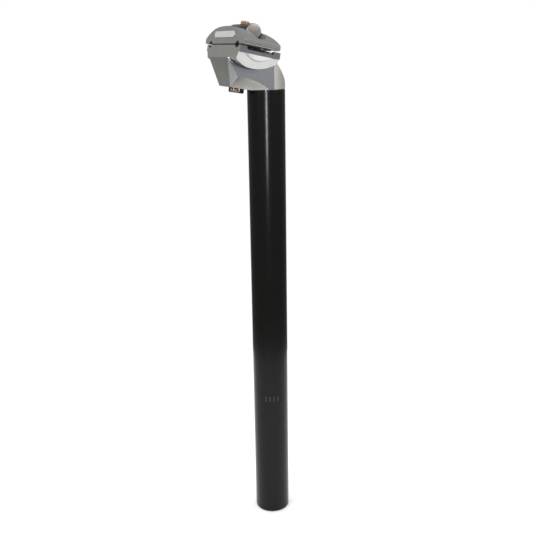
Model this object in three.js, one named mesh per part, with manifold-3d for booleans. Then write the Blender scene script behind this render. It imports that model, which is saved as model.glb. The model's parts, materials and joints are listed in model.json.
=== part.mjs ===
// A rigid setback seatpost with a one-bolt, micro-adjust saddle clamp.
//
// Millimetres and degrees, +Z up, +X towards the front of the bicycle. The origin is on the
// tube's axis at its lower end. A toothed lower clamp lies in a round cradle on the head, an
// arched upper clamp lies on it, and one bolt pulls a cross nut down onto the pair. The cradle
// is round about the cross nut's axis, so the saddle's tilt is set by turning both clamps
// about that axis.
import * as THREE from "three";
import { mergeVertices } from "three/addons/utils/BufferGeometryUtils.js";
import Module from "manifold-3d";

const wasm = await Module();
wasm.setup();

// Tube
const tubeDiameter = 25.4;
const tubeWall = 2.2;
const tubeLength = 318;
const tubeTopChamfer = 0.5;
const tubeEndChamfer = 0.8;

// Clearances
const seatGap = 0.3; // between faces that bear on each other
const swingGap = 0.3; // between the cradle and the lower clamp that turns in it
const threadGap = 0.2; // all round the bolt in the cross nut
const boltHoleGap = 0.3; // all round the bolt in the head and the washer

// Bolt, washer and cross nut
const boltDiameter = 6;
const boltHeadDiameter = 10;
const boltHeadHeight = 6;
const hexAcrossFlats = 5;
const hexDepth = 3;
const boltPoke = 1.6; // how far the tip stands out of the cross nut
const boltLean = 10.2; // the bolt's top leans forward
const boltTipChamfer = 0.6;
const washerDiameter = 12;
const washerThickness = 1.6;
const washerPocketGap = 0.4; // all round the washer in its pocket
const nutDiameter = 10;
const nutLength = 31;
const nutChamfer = 0.6;

// Where the clamp sits on the tube
const boltStandoff = 8.9; // from the tube's rear wall to the bolt's axis, at the tube's top
const pivotRise = 36.4; // the cross nut's axis above the tube's top
const clampTilt = 11.8; // the saddle rails' slope, front end lower
const tiltEachWay = 15; // the clamps' swing each way from square to the bolt

// Clamps, along the rails (u), across them (y) and square to both (w) from the cross nut's axis
const railDiameter = 7;
const railSpacing = 44;
const grooveDepth = 1.7;
const partingGap = 0.7;
const bridge = 4.4; // metal under the cross nut, down to the upper clamp's flat face
const clampRear = 12.75;
const clampFront = 15;
const cradleRadius = 22.9;
const grooveLip = 1.8; // from a rail's side to the lower clamp's outer edge
const boltSlotGap = 0.45;

// Lower clamp
const rimBand = 4;
const rimStep = 1.1;
const flankSetIn = 4.7; // how much each flank draws in from the rim band to the lowest point
const sideWindowRear = 8;
const sideWindowFront = 10.4;
const sideWindowDepth = 2;
const sideWindowInset = 1; // from a rail's middle out to where the window starts
const sideWindowCornerRadius = 1;
const scoopRadius = 12.8;
const scoopForward = 1.2;
const scoopSagitta = 4.2;
const scoopDepth = 1.6;

// Upper clamp
const capOverhang = 4.4; // wider than the lower clamp on each side
const capSetBack = 2.8; // shorter than the lower clamp at the front
const capEndHeight = 3.2;
const crownRise = 1.2; // the arch's crown above the cross nut's axis
const archPower = 2.7;
const noseLength = 12.5;
const noseLip = 1.2;
const tabWidth = 1.4;
const tabThickness = 1.2;
const tabForward = 2.2;
const tabDrop = 1.3;

// Head
const frontAngle = 39.8; // where the cradle ends, from straight below the cross nut
const rearAngle = 49.4;
const cradleLand = 0.7;
const rearLipLand = 1; // the rear face's top edge outside the cradle
const rearLipTurn = 1.7; // degrees from the cradle's rear end to that edge
const rearHeelReach = 14.5; // the rear face's bottom edge behind the cross nut's axis
const heelRise = 3;
const neckRise = 1.2;
const throatRise = 7.4;
const throatSetBack = 3;
const sideFlare = 5.1; // degrees that each side opens towards the rear
const rearTopHalfWidth = 15.6;
const heelHalfWidth = 9.3;
const wedgeForward = 2.6;
const wedgeRise = 9.8;
const tuckForward = 3.9;
const tuckRise = 9.2;
const tuckStartRise = 2.2;
const pocketFloor = 7.3; // metal between the cradle and the washer's pocket
const spigotLength = 32;
const spigotBore = 13;
const spigotGap = 0.2;
const spigotRoof = 1;

// Mesh fineness
const roundSides = 72;
const curveSteps = 18;
const far = 200; // longer than any cut

// Sizes worked out from the ones above
const tubeRadius = tubeDiameter / 2;
const tubeBore = tubeRadius - tubeWall;
const boltRadius = boltDiameter / 2;
const nutRadius = nutDiameter / 2;
const nutChannelRadius = nutRadius + seatGap;
const lean = THREE.MathUtils.degToRad(boltLean);
const tilt = THREE.MathUtils.degToRad(clampTilt);
const pivotX = pivotRise * Math.tan(lean) - tubeRadius - boltStandoff;
const capBottom = -(nutChannelRadius + bridge);
const clampTop = capBottom - partingGap;
const discRadius = cradleRadius - swingGap;
const clampHalfWidth = (railSpacing + railDiameter) / 2 + grooveLip;
const capHalfWidth = clampHalfWidth + capOverhang;
const capFront = clampFront - capSetBack;
const pocketStart = cradleRadius + pocketFloor;
const washerStart = pocketStart + seatGap;
const boltHeadStart = washerStart + washerThickness + seatGap;

// Turns a closed three.js geometry into a solid that can be joined and cut.
function solid(geometry) {
  geometry.deleteAttribute("normal");
  geometry.deleteAttribute("uv");
  const merged = mergeVertices(geometry);
  const corners = merged.index.array;
  const triangles = [];
  for (let i = 0; i < corners.length; i += 3) {
    const [a, b, c] = corners.slice(i, i + 3);
    if (a !== b && b !== c && c !== a) triangles.push(a, b, c);
  }
  return new wasm.Manifold(
    new wasm.Mesh({
      numProp: 3,
      vertProperties: new Float32Array(merged.attributes.position.array),
      triVerts: new Uint32Array(triangles),
    }),
  );
}

// Turns a solid into a named mesh.
function named(name, body, material) {
  const mesh = body.getMesh();
  const geometry = new THREE.BufferGeometry();
  geometry.setAttribute("position", new THREE.BufferAttribute(new Float32Array(mesh.vertProperties), 3));
  geometry.setIndex(new THREE.BufferAttribute(new Uint32Array(mesh.triVerts), 1));
  geometry.computeVertexNormals();
  const result = new THREE.Mesh(geometry, material);
  result.name = name;
  return result;
}

// An outline drawn in x and z, made 2 * halfWidth thick about y = 0.
function sidePrism(shape, halfWidth) {
  const settings = { depth: 2 * halfWidth, bevelEnabled: false, curveSegments: curveSteps };
  return new THREE.ExtrudeGeometry(shape, settings).translate(0, 0, -halfWidth).rotateX(Math.PI / 2);
}

// An outline drawn in y and z, running from x = start to x = end.
function crossPrism(shape, start, end) {
  const settings = { depth: end - start, bevelEnabled: false, curveSegments: curveSteps };
  const turn = new THREE.Matrix4().makeBasis(
    new THREE.Vector3(0, 1, 0),
    new THREE.Vector3(0, 0, 1),
    new THREE.Vector3(1, 0, 0),
  );
  return new THREE.ExtrudeGeometry(shape, settings).applyMatrix4(turn).translate(start, 0, 0);
}

// An outline drawn in x and y, running from z = start to z = end.
function planPrism(shape, start, end) {
  const settings = { depth: end - start, bevelEnabled: false, curveSegments: curveSteps };
  return new THREE.ExtrudeGeometry(shape, settings).translate(0, 0, start);
}

function rodAlongY(radius, length, sides = roundSides) {
  return new THREE.CylinderGeometry(radius, radius, length, sides);
}

function rodAlongX(radius, length) {
  return rodAlongY(radius, length).rotateZ(Math.PI / 2);
}

// An upright rod from z = start to z = end.
function uprightRod(radius, start, end, sides = roundSides) {
  return rodAlongY(radius, end - start, sides).rotateX(Math.PI / 2).translate(0, 0, (start + end) / 2);
}

// A turned piece about the z axis, from a list of [radius, height] corners that closes on itself.
function turned(corners) {
  const points = [...corners, corners[0]].map(([radius, height]) => new THREE.Vector2(radius, height));
  return new THREE.LatheGeometry(points, roundSides).rotateX(Math.PI / 2);
}

function box(minimum, maximum) {
  const size = maximum.map((value, i) => value - minimum[i]);
  const middle = maximum.map((value, i) => (value + minimum[i]) / 2);
  return new THREE.BoxGeometry(...size).translate(...middle);
}

// Everything on the outer side of the plane through three points; outer is the +y or -y side.
function outside(points, side) {
  const plane = new THREE.Plane().setFromCoplanarPoints(...points);
  if (plane.normal.y * side < 0) plane.negate();
  const block = new THREE.BoxGeometry(far, far, far).translate(0, 0, far / 2);
  block.applyQuaternion(
    new THREE.Quaternion().setFromUnitVectors(new THREE.Vector3(0, 0, 1), plane.normal),
  );
  return block.translate(...points[0].toArray());
}

// Round-ended slot along x, cut right through in z.
function slotShape(halfLength, halfWidth) {
  const straight = halfLength - halfWidth;
  const shape = new THREE.Shape();
  shape.absarc(straight, 0, halfWidth, -Math.PI / 2, Math.PI / 2);
  shape.absarc(-straight, 0, halfWidth, Math.PI / 2, (3 * Math.PI) / 2);
  return shape;
}

// How far a slot must reach each way, at a depth below the pivot, for the bolt to swing in it.
function slotReach(depth) {
  const swing = THREE.MathUtils.degToRad(tiltEachWay);
  return depth * Math.tan(swing) + boltRadius / Math.cos(swing) + boltSlotGap;
}

function makeTube() {
  const corners = [
    [tubeBore, 0],
    [tubeRadius - tubeEndChamfer, 0],
    [tubeRadius, tubeEndChamfer],
    [tubeRadius, tubeLength - tubeTopChamfer],
    [tubeRadius - tubeTopChamfer, tubeLength],
    [tubeBore, tubeLength],
  ];
  return solid(turned(corners));
}

// A point on the cradle's arc; the angle is from straight below the pivot, positive forward.
function cradlePoint(degrees) {
  const angle = THREE.MathUtils.degToRad(degrees);
  return [pivotX + cradleRadius * Math.sin(angle), pivotRise - cradleRadius * Math.cos(angle)];
}

// The rear face's top edge, just outside the cradle's rear end.
function rearLip() {
  const angle = THREE.MathUtils.degToRad(rearAngle + rearLipTurn);
  const radius = cradleRadius + rearLipLand;
  return [pivotX - radius * Math.sin(angle), pivotRise - radius * Math.cos(angle)];
}

// Places a piece made about the bolt's axis, with the pivot at its origin, in the head's frame.
function alongBolt(geometry) {
  return geometry.rotateY(lean).translate(pivotX, 0, pivotRise);
}

// The head from the side: neck, front curve, cradle, rear lip, rear face and underside.
function headOutline() {
  const [frontX, frontZ] = cradlePoint(frontAngle);
  const straightDown = -Math.PI / 2;
  const heelX = pivotX - rearHeelReach;
  const underfaceEnd = heelX + (heelRise - seatGap) / Math.tan(lean);
  const shape = new THREE.Shape();
  shape.moveTo(tubeRadius, seatGap);
  shape.lineTo(tubeRadius, neckRise);
  shape.quadraticCurveTo(
    tubeRadius - throatSetBack,
    throatRise,
    frontX + cradleLand,
    frontZ + cradleLand / 2,
  );
  shape.absarc(
    pivotX,
    pivotRise,
    cradleRadius,
    straightDown + THREE.MathUtils.degToRad(frontAngle),
    straightDown - THREE.MathUtils.degToRad(rearAngle),
    true,
  );
  shape.lineTo(...rearLip());
  shape.lineTo(heelX, heelRise);
  shape.lineTo(underfaceEnd, seatGap);
  return shape;
}

// The head from above: a half round front, and sides that open towards the rear.
function headPlan() {
  const spread = far / 4;
  const rearHalfWidth = tubeRadius + spread * Math.tan(THREE.MathUtils.degToRad(sideFlare));
  const shape = new THREE.Shape();
  shape.absarc(0, 0, tubeRadius, -Math.PI / 2, Math.PI / 2);
  shape.lineTo(-spread, rearHalfWidth);
  shape.lineTo(-spread, -rearHalfWidth);
  return shape;
}

// The two facets that narrow the head's lower rear corner, on the +y or -y side.
function headFacets(side) {
  const sideY = (x) => side * (tubeRadius - x * Math.tan(THREE.MathUtils.degToRad(sideFlare)));
  const point = (x, y, z) => new THREE.Vector3(x, y, z);
  const heelX = pivotX - rearHeelReach;
  const heel = point(heelX, side * heelHalfWidth, heelRise);
  const [lipX, lipZ] = rearLip();
  const lip = point(lipX, side * rearTopHalfWidth, lipZ);
  const wedgeX = heelX + wedgeForward;
  const wedge = point(wedgeX, sideY(wedgeX), wedgeRise);
  const tuckX = heelX + tuckForward;
  const tuck = point(tuckX, sideY(tuckX), tuckRise);
  const tuckStart = point(-tubeRadius / 2, sideY(-tubeRadius / 2), tuckStartRise);
  return [outside([lip, heel, wedge], side), outside([tuckStart, tuck, heel], side)];
}

function makeHead() {
  const outline = solid(sidePrism(headOutline(), far / 4));
  let head = outline.intersect(solid(planPrism(headPlan(), 0, pivotRise)));
  for (const side of [-1, 1]) {
    for (const facet of headFacets(side)) head = head.subtract(solid(facet));
  }
  const spigot = uprightRod(tubeBore - spigotGap, -spigotLength, neckRise);
  const spigotHollow = uprightRod(spigotBore / 2, -far, -spigotRoof);
  const boltHole = alongBolt(uprightRod(boltRadius + boltHoleGap, -far, 0));
  const pocketRadius = washerDiameter / 2 + washerPocketGap;
  const pocket = alongBolt(uprightRod(pocketRadius, -far, -pocketStart));
  head = head.subtract(solid(boltHole)).subtract(solid(pocket));
  return head.add(solid(spigot)).subtract(solid(spigotHollow));
}

// The lower clamp from the side: flat top, square ends and the round underside.
function lowerClampSide() {
  const frontAngleOut = Math.atan2(-Math.sqrt(discRadius ** 2 - clampFront ** 2), clampFront);
  const rearAngleOut = Math.atan2(-Math.sqrt(discRadius ** 2 - clampRear ** 2), -clampRear);
  const shape = new THREE.Shape();
  shape.moveTo(clampFront, clampTop);
  shape.lineTo(-clampRear, clampTop);
  shape.absarc(0, 0, discRadius, rearAngleOut, frontAngleOut);
  return shape;
}

// The lower clamp from behind: rim bands, then flanks that draw in towards the bottom.
function lowerClampCross() {
  const bandBottom = clampTop - rimBand;
  const flankTop = clampHalfWidth - rimStep;
  const shape = new THREE.Shape();
  shape.moveTo(-clampHalfWidth, clampTop);
  shape.lineTo(-clampHalfWidth, bandBottom);
  shape.lineTo(-flankTop, bandBottom);
  shape.lineTo(flankSetIn - flankTop, -discRadius);
  shape.lineTo(flankTop - flankSetIn, -discRadius);
  shape.lineTo(flankTop, bandBottom);
  shape.lineTo(clampHalfWidth, bandBottom);
  shape.lineTo(clampHalfWidth, clampTop);
  return shape;
}

// The window that opens each rail groove to the side, through the lower clamp's rim.
function sideWindow(side) {
  const floor = clampTop - sideWindowDepth;
  const radius = sideWindowCornerRadius;
  const shape = new THREE.Shape();
  shape.moveTo(sideWindowFront, clampTop + partingGap);
  shape.lineTo(-sideWindowRear, clampTop + partingGap);
  shape.absarc(radius - sideWindowRear, floor + radius, radius, Math.PI, 1.5 * Math.PI);
  shape.absarc(sideWindowFront - radius, floor + radius, radius, 1.5 * Math.PI, 2 * Math.PI);
  const inner = railSpacing / 2 + sideWindowInset;
  const outer = clampHalfWidth + 1;
  return sidePrism(shape, (outer - inner) / 2).translate(0, (side * (outer + inner)) / 2, 0);
}

// The shallow half-moon hollow in each flank, its straight edge under the rim band.
function sideScoop(side) {
  const bandBottom = clampTop - rimBand;
  const flankTop = clampHalfWidth - rimStep;
  const flankAngle = Math.atan2(flankSetIn, discRadius + bandBottom);
  const halfAngle = Math.acos(1 - scoopSagitta / scoopRadius);
  const shape = new THREE.Shape();
  const straightDown = -Math.PI / 2;
  shape.absarc(
    scoopForward,
    scoopRadius - scoopSagitta,
    scoopRadius,
    straightDown - halfAngle,
    straightDown + halfAngle,
  );
  return sidePrism(shape, scoopDepth).rotateX(-side * flankAngle).translate(0, side * flankTop, bandBottom);
}

function makeLowerClamp() {
  const side = solid(sidePrism(lowerClampSide(), clampHalfWidth + 1));
  let clamp = side.intersect(solid(crossPrism(lowerClampCross(), -clampRear - 1, clampFront + 1)));
  const grooveCentre = clampTop + railDiameter / 2 - grooveDepth;
  for (const hand of [-1, 1]) {
    const groove = rodAlongX(railDiameter / 2, far).translate(0, (hand * railSpacing) / 2, grooveCentre);
    clamp = clamp.subtract(solid(groove)).subtract(solid(sideWindow(hand)));
    clamp = clamp.subtract(solid(sideScoop(hand)));
  }
  const slot = slotShape(slotReach(discRadius), boltRadius + boltSlotGap);
  return clamp.subtract(solid(planPrism(slot, -far, far)));
}

// The upper clamp from behind: a flat underside and an arch that falls away to thin ends.
function upperClampCross() {
  const endTop = capBottom + capEndHeight;
  const arch = (y) => crownRise - (crownRise - endTop) * (Math.abs(y) / capHalfWidth) ** archPower;
  const shape = new THREE.Shape();
  shape.moveTo(-capHalfWidth, capBottom);
  shape.lineTo(capHalfWidth, capBottom);
  for (let step = curveSteps; step >= -curveSteps; step -= 1) {
    const y = capHalfWidth * Math.sin(((step / curveSteps) * Math.PI) / 2);
    shape.lineTo(y, arch(y));
  }
  return shape;
}

// The upper clamp from the side: a square rear end and a rounded nose.
function upperClampSide() {
  const noseHeight = crownRise - capBottom - noseLip;
  const noseStart = capFront - noseLength;
  const shape = new THREE.Shape();
  shape.moveTo(-clampRear, capBottom);
  shape.lineTo(capFront, capBottom);
  shape.absellipse(noseStart, capBottom + noseLip, noseLength, noseHeight, 0, Math.PI / 2);
  shape.lineTo(-clampRear, crownRise);
  return shape;
}

function makeUpperClamp() {
  const cross = solid(crossPrism(upperClampCross(), -clampRear - 1, clampFront + 1));
  let cap = cross.intersect(solid(sidePrism(upperClampSide(), capHalfWidth + 1)));
  const tabY = clampHalfWidth - grooveLip / 2;
  for (const hand of [-1, 1]) {
    const tab = box(
      [tabForward - tabWidth / 2, hand * tabY - tabThickness / 2, capBottom - tabDrop],
      [tabForward + tabWidth / 2, hand * tabY + tabThickness / 2, capBottom + 1],
    );
    cap = cap.add(solid(tab));
  }
  const channel = solid(rodAlongY(nutChannelRadius, far));
  const mouth = solid(box([-nutChannelRadius, -far, 0], [nutChannelRadius, far, far]));
  cap = cap.subtract(channel).subtract(mouth);
  const grooveCentre = capBottom - railDiameter / 2 + grooveDepth;
  for (const hand of [-1, 1]) {
    const groove = rodAlongX(railDiameter / 2, far).translate(0, (hand * railSpacing) / 2, grooveCentre);
    cap = cap.subtract(solid(groove));
  }
  const slot = slotShape(slotReach(-capBottom), boltRadius + boltSlotGap);
  return cap.subtract(solid(planPrism(slot, -far, far)));
}

// The cross nut lies along y, and its threaded hole runs along the bolt.
function makeCrossNut() {
  const half = nutLength / 2;
  const corners = [
    [0, -half],
    [nutRadius - nutChamfer, -half],
    [nutRadius, nutChamfer - half],
    [nutRadius, half - nutChamfer],
    [nutRadius - nutChamfer, half],
    [0, half],
  ];
  const points = corners.map(([radius, height]) => new THREE.Vector2(radius, height));
  const body = solid(new THREE.LatheGeometry(points, roundSides));
  return body.subtract(solid(uprightRod(boltRadius + threadGap, -far, far)));
}

function makeBolt() {
  const tip = nutRadius + boltPoke;
  const headEnd = -boltHeadStart - boltHeadHeight;
  const corners = [
    [0, headEnd],
    [boltHeadDiameter / 2, headEnd],
    [boltHeadDiameter / 2, -boltHeadStart],
    [boltRadius, -boltHeadStart],
    [boltRadius, tip - boltTipChamfer],
    [boltRadius - boltTipChamfer, tip],
    [0, tip],
  ];
  const points = corners.map(([radius, height]) => new THREE.Vector2(radius, height));
  const body = solid(new THREE.LatheGeometry(points, roundSides).rotateX(Math.PI / 2));
  const hexRadius = hexAcrossFlats / 2 / Math.cos(Math.PI / 6);
  return body.subtract(solid(uprightRod(hexRadius, headEnd - 1, headEnd + hexDepth, 6)));
}

function makeWasher() {
  const corners = [
    [boltRadius + boltHoleGap, -washerStart - washerThickness],
    [washerDiameter / 2, -washerStart - washerThickness],
    [washerDiameter / 2, -washerStart],
    [boltRadius + boltHoleGap, -washerStart],
  ];
  return solid(turned(corners));
}

function metal(color, roughness) {
  return new THREE.MeshStandardMaterial({ color, roughness, metalness: 1 });
}

const post = new THREE.Group();
post.add(named("post_tube", makeTube(), metal(0x1c1c1a, 0.45)));

const headFrame = new THREE.Group();
headFrame.position.z = tubeLength;
headFrame.add(named("head", makeHead(), metal(0xb9bbbd, 0.3)));
post.add(headFrame);

const clampFrame = new THREE.Group();
clampFrame.position.set(pivotX, 0, pivotRise);
clampFrame.rotation.y = tilt;
clampFrame.add(named("lower_clamp", makeLowerClamp(), metal(0xc4c5c6, 0.3)));
clampFrame.add(named("upper_clamp", makeUpperClamp(), metal(0xb4b5b4, 0.32)));
headFrame.add(clampFrame);

const boltFrame = new THREE.Group();
boltFrame.position.set(pivotX, 0, pivotRise);
boltFrame.rotation.y = lean;
boltFrame.add(named("barrel_nut", makeCrossNut(), metal(0x77777a, 0.35)));
boltFrame.add(named("clamp_bolt", makeBolt(), metal(0x5d5646, 0.35)));
boltFrame.add(named("bolt_washer", makeWasher(), metal(0x8b8d90, 0.35)));
headFrame.add(boltFrame);

export default post;
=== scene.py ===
"""Dresses a one-bolt bicycle seatpost: tube, head, rail clamps, cross nut, bolt and washer.

Shapes are modelled in millimetres, each in the frame of the piece it belongs to, and are placed
in the part's own frame in metres as the last step.
"""

import json
import logging
import math
from collections.abc import Sequence
from dataclasses import dataclass, field
from enum import Enum

import bmesh
import bpy
from mathutils import Matrix, Vector

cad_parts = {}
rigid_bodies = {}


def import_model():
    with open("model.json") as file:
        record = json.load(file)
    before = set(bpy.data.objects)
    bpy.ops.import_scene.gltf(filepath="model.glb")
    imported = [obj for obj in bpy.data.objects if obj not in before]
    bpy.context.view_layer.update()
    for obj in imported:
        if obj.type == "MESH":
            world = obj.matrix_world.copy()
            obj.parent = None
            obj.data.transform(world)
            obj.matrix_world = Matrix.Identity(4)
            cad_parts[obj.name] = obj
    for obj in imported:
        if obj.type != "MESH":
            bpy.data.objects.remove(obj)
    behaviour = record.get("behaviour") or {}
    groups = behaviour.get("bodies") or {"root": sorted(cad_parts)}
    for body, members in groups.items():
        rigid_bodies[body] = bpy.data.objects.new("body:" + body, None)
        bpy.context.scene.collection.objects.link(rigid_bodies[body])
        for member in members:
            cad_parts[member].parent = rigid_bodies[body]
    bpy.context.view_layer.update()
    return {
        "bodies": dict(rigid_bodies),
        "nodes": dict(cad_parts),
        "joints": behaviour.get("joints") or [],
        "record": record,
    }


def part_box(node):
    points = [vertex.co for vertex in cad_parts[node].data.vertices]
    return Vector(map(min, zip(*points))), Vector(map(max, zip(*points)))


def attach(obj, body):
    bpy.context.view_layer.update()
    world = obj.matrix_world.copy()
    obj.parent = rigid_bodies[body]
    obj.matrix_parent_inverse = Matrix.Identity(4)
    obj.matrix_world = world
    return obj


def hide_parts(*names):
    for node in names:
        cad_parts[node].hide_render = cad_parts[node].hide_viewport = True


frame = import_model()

LOG = logging.getLogger("seatpost")

MM = 0.001
FAR = 200.0
ROUND_STEPS = 96
MERGE_DISTANCE = 0.004
FLAT_ANGLE = math.radians(0.3)
FACING = 0.9
SAME_FACING = 0.999
EDGE_ON = 0.1

Point = tuple[float, float]


class Plane(Enum):
    """The plane an outline is drawn in; it is extruded along the axis left over."""

    SIDE = "x and z, extruded along y"
    CROSS = "y and z, extruded along x"
    PLAN = "x and y, extruded along z"


class Combine(Enum):
    """How one solid acts on another."""

    JOIN = "UNION"
    CUT = "DIFFERENCE"
    KEEP = "INTERSECT"


class Grain(Enum):
    """How far a finish's fine marks are stretched along x, y and z."""

    ALONG_X = (0.04, 1.0, 1.0)
    ALONG_Y = (1.0, 0.04, 1.0)
    ALONG_Z = (1.0, 1.0, 0.03)
    EVEN = (1.0, 1.0, 1.0)


def put_in_scene(name: str, data: bpy.types.ID) -> bpy.types.Object:
    """Makes a mesh, light or camera an object of the scene."""
    made = bpy.data.objects.new(name, data)
    bpy.context.scene.collection.objects.link(made)
    return made


# Outlines


def arc(centre: Point, radius: float, start: float, end: float, steps: int) -> list[Point]:
    """Points along a circular arc.

    Args:
        centre: Middle of the circle.
        radius: Its radius.
        start: Angle of the first point in degrees, from the first axis towards the second.
        end: Angle of the last point.
        steps: Number of straight stretches.

    Returns:
        The points, both ends included.
    """
    angles = [math.radians(start + (end - start) * i / steps) for i in range(steps + 1)]
    return [(centre[0] + radius * math.cos(a), centre[1] + radius * math.sin(a)) for a in angles]


def toothed_arc(
    centre: Point, crest: float, root: float, start: float, end: float, pitch: float
) -> list[Point]:
    """Points along an arc cut into V-shaped teeth with small flats on their crests.

    Args:
        centre: Middle of the circle.
        crest: Radius at the crests.
        root: Radius at the bottoms of the grooves.
        start: Angle of the first point in degrees.
        end: Angle of the last point.
        pitch: Wanted angle from tooth to tooth, in degrees.

    Returns:
        The points, starting and ending on a crest.
    """
    count = max(1, round(abs(end - start) / pitch))
    points: list[Point] = []
    for tooth in range(count):
        for share, radius in ((0.0, crest), (0.16, crest), (0.58, root)):
            angle = math.radians(start + (end - start) * (tooth + share) / count)
            points.append((centre[0] + radius * math.cos(angle), centre[1] + radius * math.sin(angle)))
    last = math.radians(end)
    points.append((centre[0] + crest * math.cos(last), centre[1] + crest * math.sin(last)))
    return points


def tooth_ring(
    centre: Point, crest: float, root: float, start: float, end: float, pitch: float
) -> list[Point]:
    """Outline of a cutter that leaves teeth: the toothed arc, closed by a plain one.

    Args:
        centre: Middle of the circle.
        crest: Radius at the crests, just clear of the surface that is cut.
        root: Radius at the bottoms of the grooves.
        start: Angle of the first tooth in degrees.
        end: Angle of the last tooth.
        pitch: Wanted angle from tooth to tooth, in degrees.

    Returns:
        The outline.
    """
    back = crest + (crest - root)
    count = max(1, round(abs(end - start) / pitch))
    return toothed_arc(centre, crest, root, start, end, pitch) + arc(centre, back, end, start, count)


def curve(start: Point, pull: Point, end: Point, steps: int) -> list[Point]:
    """Points along a curve from start to end that leaves and arrives pointing at pull."""
    points = []
    for i in range(1, steps + 1):
        t = i / steps
        a, b, c = (1 - t) ** 2, 2 * t * (1 - t), t * t
        points.append(tuple(a * s + b * p + c * e for s, p, e in zip(start, pull, end)))
    return points


def capsule(half_length: float, half_width: float, centre: Point = (0.0, 0.0)) -> list[Point]:
    """Outline of a slot with round ends, its long way along the first axis."""
    straight = half_length - half_width
    right = arc((centre[0] + straight, centre[1]), half_width, -90, 90, 16)
    left = arc((centre[0] - straight, centre[1]), half_width, 90, 270, 16)
    return right + left


# Solids


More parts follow.
